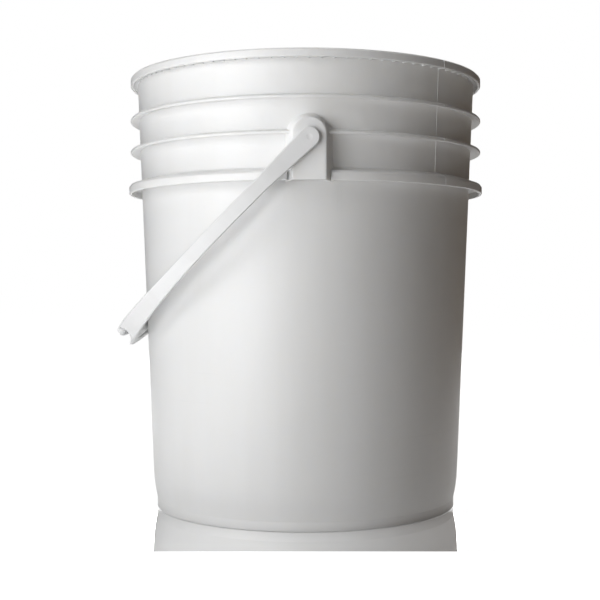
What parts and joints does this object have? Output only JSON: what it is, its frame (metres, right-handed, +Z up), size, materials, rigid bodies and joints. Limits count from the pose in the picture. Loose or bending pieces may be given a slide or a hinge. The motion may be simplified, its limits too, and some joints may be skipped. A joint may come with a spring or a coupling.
{
  "type": "plastic pail",
  "caption": "Open-topped tapered plastic pail with a lid rim, stacking fins, a hollow skirt and a moulded strap bail that swings on snap pins in hollow ears.",
  "frame": {"origin": "centre of the foot ring, on the floor", "axes": "+Z up along the pail's axis, the two ears on -Y and +Y, the bail lying down towards -X"},
  "size_m": [0.314, 0.3226, 0.3645],
  "materials": {
    "pail_plastic": "semi-gloss moulded white polyethylene",
    "bail_plastic": "satin moulded white polyethylene"
  },
  "bodies": {
    "pail": {"pail_body": "pail_plastic"},
    "bail": {"bail_handle": "bail_plastic"}
  },
  "joints": [
    {"name": "bail_swing", "type": "hinge", "parent": "pail", "child": "bail", "pos_m": [0, 0, 0.2969], "axis": [0, 1, 0], "range_deg": [0, 269.3]}
  ]
}
